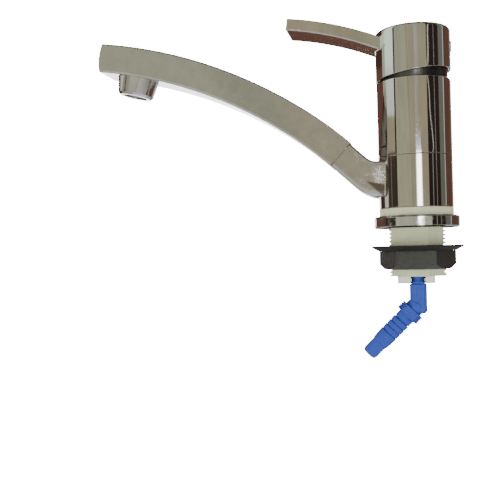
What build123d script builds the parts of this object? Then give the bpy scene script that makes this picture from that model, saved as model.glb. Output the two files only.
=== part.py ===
"""Single-lever basin tap with a swivelling curved spout, hollow threaded shank and push-in hose tail.

Frame: the origin is the middle of the base ring's underside, where the tap sits on the deck.
+Z is up the tap's axis, and the spout and the lever point to -X. All sizes are millimetres.
"""

import os
from math import cos, degrees, radians, sin, sqrt, tan

from build123d import *

# Clearances that the fits are worked out from
running_play = 0.05
working_gap = 0.3
thread_play = 0.1
braze_gap = 0.02

# Deck hardware under the tap
ring_radius = 25.0
ring_height = 7.0
ring_edge_chamfer = 0.9
ring_bore_play = 0.6
gasket_width = 4.0
gasket_thickness = 2.0
gasket_inset = 2.0

# Moulded core: flange, shank and the spigot that carries the spout collar
body_radius = 21.75
flange_height = 4.6
shank_length = 28.6
shank_thread_radius = 16.625
shank_flat_distance = 15.3
shank_thread_half_angle = 23.0
port_offset = 7.0
port_radius = 4.15
port_depth = 17.0
inlet_channel_radius = 3.0
outlet_channel_radius = 3.5
outlet_offset = 9.0
outlet_window_width = 9.0

# Swivel collar and its bearings and seals
collar_bore_radius = 19.0
glide_ring_wall = 1.15
glide_ring_height = 2.6
seal_section = 2.1
seal_low_margin = 1.55
seal_high_margin = 0.5
seal_land = 0.7

# Body shell
shell_height = 44.7
shell_top_chamfer = 0.4

# Spout: a rounded box section on two arcs, from the seam to the tip
neck_size = 21.0
neck_corner_radius = 3.0
neck_rise = 18.0
neck_reach = 26.0
neck_spigot_radius = 6.4
water_radius = 4.6
waterway_bend = 12.0
seam_reach = 43.3
seam_rise = 15.0
seam_heading = 43.0
root_width = 26.6
root_thickness = 16.8
root_corner_radius = 2.2
elbow_reach = 34.9
elbow_rise = 6.4
elbow_heading = 22.5
elbow_thickness = 18.8
elbow_width = 24.5
elbow_corner_radius = 3.0
arm_width = 28.0
arm_thickness = 18.3
arm_wall = 2.0
arm_edge_radius = 1.3
arm_first_radius = 220.0
arm_first_turn = 7.5
arm_second_radius = 297.0
arm_second_turn = 27.25
arm_tip_bulge = 1.3
tongue_length = 8.0
tongue_play = 0.3

# Aerator
aerator_heading = 12.65
aerator_radius = 13.2
aerator_rim_radius = 11.6
aerator_height = 11.7
aerator_lip = 1.6
aerator_mouth_chamfer = 1.4
aerator_thread_radius = 11.0
aerator_thread_length = 4.5
aerator_seat_depth = 0.35
insert_radius = 9.4
insert_height = 6.0
screen_thickness = 0.8
screen_hole_radius = 0.8
screen_hole_pitch = 2.7
screen_hole_rows = 5
outer_jets = 12
inner_jets = 6
aerator_washer_height = 1.5

# Lever: a cap with a flat arm, cut on a slant so that it can tip back
cap_radius = 22.0
cap_wall = 1.4
cap_rise = 26.2
cap_roof = 4.5
cap_edge_radius = 2.0
cap_slant_middle = 1.0
cap_slant_angle = 7.1
lever_width = 24.0
lever_thickness = 7.4
lever_root_reach = 17.0
lever_root_rise = 17.1
lever_root_heading = 25.3
lever_radius = 200.0
lever_turn = 17.3
lever_edge_radius = 0.8
boss_radius = 7.5
boss_bottom_rise = 10.5

# Cartridge, set out from the lever's pivot
pivot_rise = 4.6
pivot_pin_radius = 1.5
spindle_side = 7.0
spindle_top_rise = 20.0
spindle_drop = 14.5
spindle_neck_radius = 2.3
ball_radius = 3.0
lift_range = 15.0
disc_carrier_rim = 2.0
disc_carrier_floor = 0.8
moving_disc_radius = 10.5
moving_disc_thickness = 3.4
disc_film = 0.05
fixed_disc_thickness = 4.0
fixed_disc_radius = 15.0
disc_port_radius = 2.8
cartridge_base_thickness = 4.0
housing_radius = 17.3
turret_flange_thickness = 2.9
turret_neck_radius = 11.3
turret_top_rise = 6.0
turret_slot_half_length = 8.0
housing_lid = 2.5
port_seal_wall = 1.3
port_seal_thickness = 1.6
cartridge_nut_height = 4.2
cartridge_nut_bore = 12.6
nut_spanner_slots = 4
nut_spanner_slot_width = 4.0

# Dome that closes the slanted gap under the cap
dome_radius = 20.1
dome_wall = 1.5
dome_top_rise = 10.0

# Grub screw and plug at the back of the cap
grub_radius = 2.5
grub_length = 6.0
grub_socket_width = 2.5
grub_rise = 15.5
plug_radius = 3.2
plug_head = 0.5

# Clamp washer and back nut
deck_space = 10.5
washer_radius = 26.9
washer_rim = 0.9
washer_thickness = 3.2
nut_flats = 38.8
nut_height = 10.7
nut_angle = -2.2
nut_bore_play = 0.35
nut_chamfer = 3.0

# Inlet clip, elbow and hose tail
clip_width = 21.4
clip_shift = -1.0
clip_height = 4.1
clip_blade = 1.4
clip_prong_reach = 12.0
clip_web_half = 2.3
clip_peg_radius = 1.2
clip_peg_length = 3.0
clip_peg_spacing = 17.0
groove_depth = 0.65
elbow_tube_radius = 5.0
elbow_neck_play = 0.1
elbow_drop = 16.3
elbow_sump = 5.7
elbow_chamfer = 1.3
spigot_length = 14.0
spigot_seal_section = 1.1
tail_bore_radius = 2.4
elbow_boss_radius = 5.5
elbow_boss_reach = 4.3
tail_angle = 45.0
tail_spigot_radius = 3.9
tail_spigot_length = 3.0
tail_seal_section = 0.9
tail_collar_radius = 7.5
tail_collar_length = 5.2
tail_collar_flats = 11.6
tail_stem_radius = 5.25
tail_stem_length = 4.8
barb_count = 3
barb_pitch = 3.4
barb_radius = 5.6
barb_depth = 0.5
tail_taper_length = 7.7
tail_end_radius = 4.65
tail_end_length = 9.7
tail_end_round = 1.0


# Heights that follow from the stack on the deck
flange_bottom = ring_height
flange_top = flange_bottom + flange_height
collar_bottom = flange_top + working_gap
neck_height = collar_bottom + neck_rise
seam_height = neck_height + seam_rise
elbow_height = neck_height + elbow_rise
seal_low = neck_height - neck_spigot_radius - seal_low_margin - seal_section / 2
seal_high = neck_height + neck_spigot_radius + seal_high_margin + seal_section / 2
collar_top = seal_high + seal_section / 2 + seal_land + glide_ring_height
shell_bottom = collar_top + working_gap
shell_top = shell_bottom + shell_height
pivot_height = shell_top + pivot_rise

# The cartridge's stack, from the pivot down to the top of the core and up to the dome
ball_height = pivot_height - spindle_drop
disc_carrier_bottom = ball_height - ball_radius - working_gap - disc_carrier_floor
disc_carrier_top = ball_height + disc_carrier_rim
moving_disc_bottom = disc_carrier_bottom - moving_disc_thickness
fixed_disc_top = moving_disc_bottom - disc_film
fixed_disc_bottom = fixed_disc_top - fixed_disc_thickness
core_top = fixed_disc_bottom - cartridge_base_thickness
turret_bottom = disc_carrier_top + working_gap
turret_flange_top = turret_bottom + turret_flange_thickness
housing_top = turret_flange_top + working_gap + housing_lid
cap_top = pivot_height + cap_rise

# Radii that follow from the bores and the clearances
collar_outer = body_radius
shell_bore = collar_bore_radius - working_gap
core_head_radius = shell_bore - thread_play
glide_outer = collar_bore_radius - running_play
spigot_radius = glide_outer - glide_ring_wall
seal_outer = collar_bore_radius - running_play
seal_groove_radius = seal_outer - seal_section - running_play
housing_bore = fixed_disc_radius + thread_play
turret_flange_radius = housing_bore - working_gap
dome_inner = dome_radius - dome_wall


def heading_vector(heading):
    """Unit step along an outline that points to -X and climbs by the heading, in the XZ plane."""
    return Vector(-cos(radians(heading)), sin(radians(heading)))


def upper_normal(heading):
    """Unit step square to that heading, towards the upper side."""
    return Vector(sin(radians(heading)), cos(radians(heading)))


def point_on_arc(start, start_heading, radius, heading, rise=0.0):
    """Point where an arc that starts level with a heading has bent down to another heading."""
    centre = start - upper_normal(start_heading) * radius
    return centre + upper_normal(heading) * (radius + rise)


seam_point = Vector(-seam_reach, seam_height)
knee_heading = seam_heading - arm_first_turn
tip_heading = knee_heading - arm_second_turn
knee_point = point_on_arc(seam_point, seam_heading, arm_first_radius, knee_heading)


def on_arm(heading, rise=0.0):
    """Point beside the spout's centre line, where the line has the given heading."""
    if heading > knee_heading:
        return point_on_arc(seam_point, seam_heading, arm_first_radius, heading, rise)
    return point_on_arc(knee_point, knee_heading, arm_second_radius, heading, rise)


def section_plane(point, heading):
    """Plane square to a heading at a point of the XZ plane, with its own Y to the upper side."""
    step = heading_vector(heading)
    return Plane(origin=(point.X, 0, point.Y), x_dir=(0, 1, 0), z_dir=(step.X, 0, step.Y))


def arm_outline(thickness, first_heading, last_heading, bulge):
    """Side outline of the curved arm between two headings, closed by a bowed tip."""
    half = thickness / 2
    first_middle = (first_heading + knee_heading) / 2
    last_middle = (knee_heading + last_heading) / 2
    tip = on_arm(last_heading) + heading_vector(last_heading) * bulge
    ThreePointArc(on_arm(first_heading, half), on_arm(first_middle, half), on_arm(knee_heading, half))
    ThreePointArc(on_arm(knee_heading, half), on_arm(last_middle, half), on_arm(last_heading, half))
    ThreePointArc(on_arm(last_heading, half), tip, on_arm(last_heading, -half))
    ThreePointArc(on_arm(last_heading, -half), on_arm(last_middle, -half), on_arm(knee_heading, -half))
    ThreePointArc(on_arm(knee_heading, -half), on_arm(first_middle, -half), on_arm(first_heading, -half))
    Line(on_arm(first_heading, -half), on_arm(first_heading, half))


# Core body: one moulding with the flange, the shank and the spigot for the spout collar
with BuildPart() as core_body:
    with BuildSketch(Plane.XY.offset(-shank_length)):
        RegularPolygon(shank_flat_distance, 8, major_radius=False, rotation=22.5)
        for side in (0, 180):
            with BuildSketch(mode=Mode.PRIVATE) as thread_sector:
                with BuildLine():
                    reach = shank_thread_radius
                    low, high = side - shank_thread_half_angle, side + shank_thread_half_angle
                    start = (reach * cos(radians(low)), reach * sin(radians(low)))
                    end = (reach * cos(radians(high)), reach * sin(radians(high)))
                    middle = (reach * cos(radians(side)), reach * sin(radians(side)))
                    Line((0, 0), start)
                    ThreePointArc(start, middle, end)
                    Line(end, (0, 0))
                make_face()
            add(thread_sector.sketch)
    extrude(amount=shank_length + flange_bottom)
    with BuildSketch(Plane.XZ):
        with BuildLine():
            Polyline(
                (0, flange_bottom),
                (body_radius, flange_bottom),
                (body_radius, flange_top),
                (spigot_radius, flange_top),
                (spigot_radius, collar_top - glide_ring_height),
                (spigot_radius, shell_bottom),
                (core_head_radius, shell_bottom),
                (core_head_radius, core_top),
                (0, core_top),
                close=True,
            )
        make_face()
    revolve(axis=Axis.Z)
    # Grooves for the two seals, and the water groove between them
    for height in (seal_low, seal_high):
        with BuildSketch(Plane.XY.offset(height - seal_section / 2 - running_play)):
            Circle(spigot_radius)
            Circle(seal_groove_radius, mode=Mode.SUBTRACT)
        extrude(amount=seal_section + 2 * running_play, mode=Mode.SUBTRACT)
    # Inlet ports in the foot, and their channels up to the cartridge
    for side in (-1, 1):
        with BuildSketch(Plane.XY.offset(-shank_length)):
            with Locations((0, side * port_offset)):
                Circle(port_radius)
        extrude(amount=port_depth, mode=Mode.SUBTRACT)
        with BuildSketch(Plane.XY.offset(-shank_length)):
            with Locations((0, side * port_offset)):
                Circle(inlet_channel_radius)
        extrude(amount=shank_length + core_top, mode=Mode.SUBTRACT)
    # Outlet channel down from the cartridge, with a window to the spout collar
    with BuildSketch(Plane.XY.offset(neck_height - outlet_channel_radius)):
        with Locations((outlet_offset, 0)):
            Circle(outlet_channel_radius)
    extrude(amount=core_top - neck_height + outlet_channel_radius, mode=Mode.SUBTRACT)
    with BuildSketch(Plane.YZ.offset(outlet_offset)):
        with Locations((0, neck_height)):
            SlotOverall(outlet_window_width, 2 * outlet_channel_radius)
    extrude(amount=spigot_radius, mode=Mode.SUBTRACT)
    # Sockets for the clip's pegs
    with BuildSketch(Plane.XY.offset(-shank_length)):
        with Locations((clip_shift - clip_peg_spacing / 2, 0), (clip_shift + clip_peg_spacing / 2, 0)):
            Circle(clip_peg_radius + running_play)
    extrude(amount=clip_peg_length + running_play, mode=Mode.SUBTRACT)
core_body.part.label = "core_body"


# Base ring: a loose chromed ring between the flange and the deck
ring_bore = shank_thread_radius + ring_bore_play
gasket_outer = ring_radius - gasket_inset
with BuildPart() as base_ring:
    with BuildSketch(Plane.XZ):
        with BuildLine():
            Polyline(
                (ring_bore, 0),
                (gasket_outer - gasket_width, 0),
                (gasket_outer - gasket_width, gasket_thickness),
                (gasket_outer, gasket_thickness),
                (gasket_outer, 0),
                (ring_radius - ring_edge_chamfer, 0),
                (ring_radius, ring_edge_chamfer),
                (ring_radius, ring_height - ring_edge_chamfer),
                (ring_radius - ring_edge_chamfer, ring_height),
                (ring_bore, ring_height),
                close=True,
            )
        make_face()
    revolve(axis=Axis.Z)
base_ring.part.label = "base_ring"

# Base gasket: the rubber ring pressed into the base ring's groove
with BuildPart() as base_gasket:
    with BuildSketch(Plane.XY):
        Circle(gasket_outer - running_play)
        Circle(gasket_outer - gasket_width + running_play, mode=Mode.SUBTRACT)
    extrude(amount=gasket_thickness)
base_gasket.part.label = "base_gasket"


# Swivel collar: the chromed sleeve that the spout is brazed to
with BuildPart() as swivel_collar:
    with BuildSketch(Plane.XY.offset(collar_bottom)):
        Circle(collar_outer)
        Circle(collar_bore_radius, mode=Mode.SUBTRACT)
    extrude(amount=collar_top - collar_bottom)
    with BuildSketch(Plane.YZ.offset(-collar_outer)):
        with Locations((0, neck_height)):
            Circle(neck_spigot_radius + running_play)
    extrude(amount=collar_outer, mode=Mode.SUBTRACT)
swivel_collar.part.label = "swivel_collar"

# Glide rings: two plain bearing rings on the core's spigot, at the ends of the collar
with BuildPart() as glide_rings:
    for height in (collar_bottom, collar_top - glide_ring_height):
        with BuildSketch(Plane.XY.offset(height)):
            Circle(glide_outer)
            Circle(spigot_radius, mode=Mode.SUBTRACT)
        extrude(amount=glide_ring_height)
glide_rings.part.label = "glide_rings"

# Collar seals: two rubber rings either side of the water groove
with BuildPart() as collar_seals:
    for height in (seal_low, seal_high):
        with BuildSketch(Plane.XZ):
            with Locations((seal_outer - seal_section / 2, height)):
                Circle(seal_section / 2)
        revolve(axis=Axis.Z)
collar_seals.part.label = "collar_seals"


# Spout root: the casting from the collar's side up to the seam, bored for the water
neck_start = Vector(-neck_reach, neck_height)
elbow_point = Vector(-elbow_reach, elbow_height)
with BuildPart() as spout_root:
    with BuildSketch(section_plane(seam_point, seam_heading)):
        RectangleRounded(root_width, root_thickness, root_corner_radius)
    with BuildSketch(section_plane(elbow_point, elbow_heading)):
        RectangleRounded(elbow_width, elbow_thickness, elbow_corner_radius)
    with BuildSketch(section_plane(neck_start, 0)):
        RectangleRounded(neck_size, neck_size, neck_corner_radius)
    loft()
    # Level neck, saddled onto the collar, and the spigot that enters the collar's wall
    with BuildSketch(Plane.YZ.offset(-neck_reach)):
        with Locations((0, neck_height)):
            RectangleRounded(neck_size, neck_size, neck_corner_radius)
    extrude(amount=neck_reach)
    with BuildSketch(Plane.XY.offset(neck_height - neck_size / 2)):
        Circle(collar_outer + braze_gap)
    extrude(amount=neck_size, mode=Mode.SUBTRACT)
    with BuildSketch(Plane.YZ.offset(-neck_reach)):
        with Locations((0, neck_height)):
            Circle(neck_spigot_radius)
    extrude(amount=neck_reach - sqrt(collar_bore_radius**2 - neck_spigot_radius**2) - working_gap)
    with BuildSketch(Plane.XY.offset(neck_height - neck_size / 2)):
        Circle(collar_bore_radius + working_gap)
    extrude(amount=neck_size, mode=Mode.SUBTRACT)
    # Tongue that centres the arm
    with BuildSketch(section_plane(seam_point, seam_heading)):
        RectangleRounded(
            arm_width - 2 * arm_wall - 2 * tongue_play,
            arm_thickness - 2 * arm_wall - 2 * tongue_play,
            root_corner_radius,
        )
    extrude(amount=tongue_length)
    # Waterway: level through the neck, round the bend and up through the seam
    bend_reach = seam_reach - (seam_height - neck_height) / tan(radians(seam_heading))
    way_out = seam_point + heading_vector(seam_heading) * (tongue_length + arm_thickness)
    with BuildLine(Plane.XZ) as waterway:
        FilletPolyline(
            (0, neck_height), (-bend_reach, neck_height), (way_out.X, way_out.Y), radius=waterway_bend
        )
    with BuildSketch(section_plane(Vector(0, neck_height), 0)):
        Circle(water_radius)
    sweep(path=waterway.wires()[0], mode=Mode.SUBTRACT)
spout_root.part.label = "spout_root"


# Spout arm: a curved hollow box section with a closed, bowed tip
aerator_point = on_arm(aerator_heading, -arm_thickness / 2)
aerator_down = upper_normal(aerator_heading) * -1
aerator_plane = Plane(
    origin=(aerator_point.X, 0, aerator_point.Y),
    x_dir=(0, 1, 0),
    z_dir=(aerator_down.X, 0, aerator_down.Y),
).offset(-aerator_seat_depth)
arm_cavity_turn = degrees((arm_wall + arm_tip_bulge) / arm_second_radius)
with BuildPart() as spout_arm:
    with BuildSketch(Plane.XZ):
        with BuildLine():
            arm_outline(arm_thickness, seam_heading, tip_heading, arm_tip_bulge)
        make_face()
    extrude(amount=arm_width / 2, both=True)
    side_edges = spout_arm.edges().group_by(Axis.Y)[0] + spout_arm.edges().group_by(Axis.Y)[-1]
    fillet(side_edges.filter_by(lambda edge: edge.length > arm_thickness + arm_wall), arm_edge_radius)
    with BuildSketch(Plane.XZ):
        with BuildLine():
            cavity_tip_heading = tip_heading + arm_cavity_turn
            arm_outline(arm_thickness - 2 * arm_wall, seam_heading, cavity_tip_heading, arm_tip_bulge)
        make_face()
    extrude(amount=arm_width / 2 - arm_wall, both=True, mode=Mode.SUBTRACT)
    with BuildSketch(aerator_plane):
        Circle(aerator_radius + thread_play)
    extrude(amount=aerator_seat_depth + arm_wall, mode=Mode.SUBTRACT)
    with BuildSketch(aerator_plane):
        Circle(aerator_thread_radius + thread_play)
    extrude(amount=-(arm_wall + aerator_seat_depth + working_gap), mode=Mode.SUBTRACT)
spout_arm.part.label = "spout_arm"


# Aerator housing: the turned cup screwed into the arm, tapering to its mouth
mouth_radius = insert_radius - aerator_lip
with BuildPart(aerator_plane) as aerator_housing:
    with BuildSketch(Plane(aerator_plane.origin, x_dir=(0, 1, 0), z_dir=aerator_plane.y_dir * -1)):
        with BuildLine():
            Polyline(
                (insert_radius, -aerator_thread_length),
                (aerator_thread_radius, -aerator_thread_length),
                (aerator_thread_radius, 0),
                (aerator_radius, 0),
                (aerator_rim_radius, aerator_height - aerator_mouth_chamfer),
                (aerator_rim_radius - aerator_mouth_chamfer, aerator_height),
                (mouth_radius, aerator_height),
                (mouth_radius, aerator_height - aerator_lip),
                (insert_radius, aerator_height - aerator_lip),
                close=True,
            )
        make_face()
    revolve(axis=Axis(aerator_plane.origin, aerator_plane.z_dir))
aerator_housing.part.label = "aerator_housing"

# Aerator washer: the rubber ring between the housing's shoulder and the arm
with BuildPart() as aerator_washer:
    with BuildSketch(aerator_plane.offset(-aerator_thread_length)):
        Circle(aerator_thread_radius)
        Circle(insert_radius - aerator_lip, mode=Mode.SUBTRACT)
    extrude(amount=-aerator_washer_height)
aerator_washer.part.label = "aerator_washer"

# Aerator insert: the plastic flow plate with a ring of jets
insert_bottom = aerator_height - aerator_lip - screen_thickness
with BuildPart() as aerator_insert:
    with BuildSketch(aerator_plane.offset(insert_bottom)):
        Circle(insert_radius - running_play)
        Circle(mouth_radius, mode=Mode.SUBTRACT)
    extrude(amount=-insert_height)
    with BuildSketch(aerator_plane.offset(insert_bottom - insert_height)):
        Circle(insert_radius - running_play)
        with PolarLocations(mouth_radius - screen_hole_pitch / 2, outer_jets):
            Circle(screen_hole_radius, mode=Mode.SUBTRACT)
        with PolarLocations(mouth_radius - 1.5 * screen_hole_pitch, inner_jets):
            Circle(screen_hole_radius, mode=Mode.SUBTRACT)
    extrude(amount=-screen_thickness)
aerator_insert.part.label = "aerator_insert"

# Aerator screen: the perforated disc at the mouth
with BuildPart() as aerator_screen:
    with BuildSketch(aerator_plane.offset(insert_bottom)):
        Circle(insert_radius - running_play)
        with HexLocations(screen_hole_pitch / 2, screen_hole_rows, screen_hole_rows):
            Circle(screen_hole_radius, mode=Mode.SUBTRACT)
    extrude(amount=screen_thickness)
aerator_screen.part.label = "aerator_screen"


# Body shell: the chromed sleeve over the core's head and the cartridge
with BuildPart() as body_shell:
    with BuildSketch(Plane.XY.offset(shell_bottom)):
        Circle(body_radius)
        Circle(shell_bore, mode=Mode.SUBTRACT)
    extrude(amount=shell_height)
    chamfer(body_shell.edges().group_by(Axis.Z)[-1].sort_by(SortBy.RADIUS)[-1], shell_top_chamfer)
body_shell.part.label = "body_shell"


# Cartridge base: the plastic foot with the three ports
port_places = [(0, -port_offset), (0, port_offset), (outlet_offset, 0)]
with BuildPart() as cartridge_base:
    with BuildSketch(Plane.XY.offset(core_top)):
        Circle(housing_radius)
    extrude(amount=cartridge_base_thickness)
    with BuildSketch(Plane.XY.offset(core_top)):
        with Locations(*port_places):
            Circle(disc_port_radius + port_seal_wall + running_play)
    extrude(amount=port_seal_thickness, mode=Mode.SUBTRACT)
    with BuildSketch(Plane.XY.offset(core_top)):
        with Locations(*port_places):
            Circle(disc_port_radius)
    extrude(amount=cartridge_base_thickness, mode=Mode.SUBTRACT)
cartridge_base.part.label = "cartridge_base"

# Port seals: three rubber rings between the core and the cartridge's ports
with BuildPart() as port_seals:
    with BuildSketch(Plane.XY.offset(core_top)):
        with Locations(*port_places):
            Circle(disc_port_radius + port_seal_wall)
            Circle(disc_port_radius, mode=Mode.SUBTRACT)
    extrude(amount=port_seal_thickness - running_play)
port_seals.part.label = "port_seals"

# Fixed disc: the lower ceramic disc
with BuildPart() as fixed_disc:
    with BuildSketch(Plane.XY.offset(fixed_disc_bottom)):
        Circle(fixed_disc_radius)
        with Locations(*port_places):
            Circle(disc_port_radius, mode=Mode.SUBTRACT)
    extrude(amount=fixed_disc_thickness)
fixed_disc.part.label = "fixed_disc"

# Moving disc: the upper ceramic disc, with the mixing pocket in its face
pocket_travel = spindle_drop * sin(radians(lift_range))
with BuildPart() as moving_disc:
    with BuildSketch(Plane.XY.offset(moving_disc_bottom)):
        Circle(moving_disc_radius)
    extrude(amount=moving_disc_thickness)
    with BuildSketch(Plane.XY.offset(moving_disc_bottom)):
        with Locations((pocket_travel, 0)):
            SlotOverall(moving_disc_radius, 2 * disc_port_radius, rotation=90)
    extrude(amount=moving_disc_thickness / 2, mode=Mode.SUBTRACT)
moving_disc.part.label = "moving_disc"

# Disc carrier: the plastic cap of the moving disc, with the pocket for the spindle's ball
with BuildPart() as disc_carrier:
    with BuildSketch(Plane.XY.offset(disc_carrier_bottom)):
        Circle(moving_disc_radius)
    extrude(amount=disc_carrier_top - disc_carrier_bottom)
    with BuildSketch(Plane.XY.offset(disc_carrier_bottom + disc_carrier_floor)):
        Circle(ball_radius + working_gap)
    extrude(amount=disc_carrier_top - disc_carrier_bottom, mode=Mode.SUBTRACT)
disc_carrier.part.label = "disc_carrier"

# Cartridge housing: the plastic cup over the discs, with a lid round the turret's neck
with BuildPart() as cartridge_housing:
    with BuildSketch(Plane.XY.offset(fixed_disc_bottom)):
        Circle(housing_radius)
    extrude(amount=housing_top - fixed_disc_bottom)
    with BuildSketch(Plane.XY.offset(fixed_disc_bottom)):
        Circle(housing_bore)
    extrude(amount=housing_top - housing_lid - fixed_disc_bottom, mode=Mode.SUBTRACT)
    with BuildSketch(Plane.XY.offset(fixed_disc_bottom)):
        Circle(turret_neck_radius + working_gap)
    extrude(amount=housing_top - fixed_disc_bottom, mode=Mode.SUBTRACT)
cartridge_housing.part.label = "cartridge_housing"

# Cartridge nut: the slotted brass ring that holds the cartridge down in the shell
nut_top = housing_top + cartridge_nut_height
with BuildPart() as cartridge_nut:
    with BuildSketch(Plane.XY.offset(housing_top)):
        Circle(shell_bore - thread_play)
        Circle(cartridge_nut_bore, mode=Mode.SUBTRACT)
    extrude(amount=shell_top - housing_top)
    with BuildSketch(Plane.XY.offset(shell_top)):
        Circle(sqrt(dome_inner**2 - pivot_rise**2) - thread_play)
        Circle(cartridge_nut_bore, mode=Mode.SUBTRACT)
    extrude(amount=nut_top - shell_top)
    with BuildSketch(Plane.XY.offset(nut_top)):
        with PolarLocations(cartridge_nut_bore, nut_spanner_slots):
            Rectangle(nut_spanner_slot_width, nut_spanner_slot_width)
    extrude(amount=-(nut_top - shell_top), mode=Mode.SUBTRACT)
cartridge_nut.part.label = "cartridge_nut"

# Dome cover: the chromed spherical ring under the cap, centred on the lever's pivot
with BuildPart() as dome_cover:
    with Locations((0, 0, pivot_height)):
        Sphere(dome_radius)
        Sphere(dome_inner, mode=Mode.SUBTRACT)
    split(bisect_by=Plane.XY.offset(shell_top), keep=Keep.TOP)
    split(bisect_by=Plane.XY.offset(pivot_height + dome_top_rise), keep=Keep.BOTTOM)
dome_cover.part.label = "dome_cover"


# Spindle carrier: the turret that turns in the housing and holds the lever's pivot pin
turret_top = pivot_height + turret_top_rise
with BuildPart() as spindle_carrier:
    with BuildSketch(Plane.XY.offset(turret_bottom)):
        Circle(turret_flange_radius)
    extrude(amount=turret_flange_thickness)
    with BuildSketch(Plane.XY.offset(turret_flange_top)):
        Circle(turret_neck_radius)
    extrude(amount=turret_top - turret_flange_top)
    with BuildSketch(Plane.XY.offset(turret_bottom)):
        Rectangle(2 * turret_slot_half_length, spindle_side + 2 * working_gap)
    extrude(amount=turret_top - turret_bottom, mode=Mode.SUBTRACT)
    with BuildSketch(Plane.XZ):
        with Locations((0, pivot_height)):
            Circle(pivot_pin_radius)
    extrude(amount=turret_neck_radius, both=True, mode=Mode.SUBTRACT)
spindle_carrier.part.label = "spindle_carrier"

# Pivot pin: the steel pin that the spindle rocks on
with BuildPart() as pivot_pin:
    with BuildSketch(Plane.XZ):
        with Locations((0, pivot_height)):
            Circle(pivot_pin_radius)
    extrude(amount=sqrt(turret_neck_radius**2 - pivot_pin_radius**2), both=True)
pivot_pin.part.label = "pivot_pin"

# Spindle: a square steel bar with a ball at its lower end, rocking on the pin
spindle_shoulder = pivot_height - 2 * pivot_pin_radius - spindle_side / 2
with BuildPart() as spindle:
    with BuildSketch(Plane.XY.offset(spindle_shoulder)):
        Rectangle(spindle_side, spindle_side)
    extrude(amount=pivot_height + spindle_top_rise - spindle_shoulder)
    with BuildSketch(Plane.XY.offset(ball_height)):
        Circle(spindle_neck_radius)
    extrude(amount=spindle_shoulder - ball_height)
    with Locations((0, 0, ball_height)):
        Sphere(ball_radius)
    with BuildSketch(Plane.XZ):
        with Locations((0, pivot_height)):
            Circle(pivot_pin_radius + running_play)
    extrude(amount=spindle_side, both=True, mode=Mode.SUBTRACT)
spindle.part.label = "spindle"


# Lever handle: cap and arm cast in one, hollow, with a boss for the spindle
lever_root = Vector(-lever_root_reach, pivot_height + lever_root_rise)
lever_tip_heading = lever_root_heading - lever_turn


def on_lever(heading, rise=0.0):
    """Point beside the lever arm's centre line, where the line has the given heading."""
    return point_on_arc(lever_root, lever_root_heading, lever_radius, heading, rise)


slant_plane = Plane(
    origin=(0, 0, pivot_height - cap_slant_middle),
    x_dir=(cos(radians(cap_slant_angle)), 0, sin(radians(cap_slant_angle))),
    z_dir=(-sin(radians(cap_slant_angle)), 0, cos(radians(cap_slant_angle))),
)
cap_blank_bottom = pivot_height - cap_radius
lever_middle_heading = (lever_root_heading + lever_tip_heading) / 2
lever_half = lever_thickness / 2
with BuildPart() as lever_arm:
    with BuildSketch(Plane.XZ):
        with BuildLine():
            ThreePointArc(
                on_lever(lever_root_heading, lever_half),
                on_lever(lever_middle_heading, lever_half),
                on_lever(lever_tip_heading, lever_half),
            )
            Line(on_lever(lever_tip_heading, lever_half), on_lever(lever_tip_heading, -lever_half))
            ThreePointArc(
                on_lever(lever_tip_heading, -lever_half),
                on_lever(lever_middle_heading, -lever_half),
                on_lever(lever_root_heading, -lever_half),
            )
            Line(on_lever(lever_root_heading, -lever_half), on_lever(lever_root_heading, lever_half))
        make_face()
    extrude(amount=lever_width / 2, both=True)
    fillet(lever_arm.edges().filter_by(lambda edge: edge.center().X < -cap_radius), lever_edge_radius)
with BuildPart() as lever_handle:
    with BuildSketch(Plane.XY.offset(cap_blank_bottom)):
        Circle(cap_radius)
    extrude(amount=cap_top - cap_blank_bottom)
    fillet(lever_handle.edges().group_by(Axis.Z)[-1], cap_edge_radius)
    split(bisect_by=slant_plane, keep=Keep.TOP)
    add(lever_arm.part)
    with BuildSketch(Plane.XY.offset(cap_blank_bottom)):
        Circle(cap_radius - cap_wall)
        Circle(boss_radius, mode=Mode.SUBTRACT)
    extrude(amount=cap_top - cap_roof - cap_blank_bottom, mode=Mode.SUBTRACT)
    with BuildSketch(Plane.XY.offset(cap_blank_bottom)):
        Circle(boss_radius)
    extrude(amount=pivot_height + boss_bottom_rise - cap_blank_bottom, mode=Mode.SUBTRACT)
    # Socket for the spindle, the tapped hole for the grub screw, and its hole in the cap's back
    with BuildSketch(Plane.XY.offset(pivot_height)):
        Rectangle(spindle_side + 2 * running_play, spindle_side + 2 * running_play)
    extrude(amount=spindle_top_rise + working_gap, mode=Mode.SUBTRACT)
    with BuildSketch(Plane.YZ):
        with Locations((0, pivot_height + grub_rise)):
            Circle(grub_radius + running_play)
    extrude(amount=boss_radius, mode=Mode.SUBTRACT)
    with BuildSketch(Plane.YZ.offset(boss_radius)):
        with Locations((0, pivot_height + grub_rise)):
            Circle(plug_radius + running_play)
    extrude(amount=cap_radius, mode=Mode.SUBTRACT)
lever_handle.part.label = "lever_handle"

# Grub screw: clamps the handle to the spindle from behind
grub_start = spindle_side / 2 + running_play
with BuildPart() as grub_screw:
    with BuildSketch(Plane.YZ.offset(grub_start)):
        with Locations((0, pivot_height + grub_rise)):
            Circle(grub_radius)
    extrude(amount=grub_length)
    with BuildSketch(Plane.YZ.offset(grub_start + grub_length)):
        with Locations((0, pivot_height + grub_rise)):
            RegularPolygon(grub_socket_width / 2, 6, major_radius=False)
    extrude(amount=-grub_length / 2, mode=Mode.SUBTRACT)
grub_screw.part.label = "grub_screw"

# Index plug: the plain plug that hides the grub screw's hole
with BuildPart() as index_plug:
    with BuildSketch(Plane.YZ.offset(cap_radius - cap_wall)):
        with Locations((0, pivot_height + grub_rise)):
            Circle(plug_radius)
    extrude(amount=cap_wall + plug_head)
index_plug.part.label = "index_plug"


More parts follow.
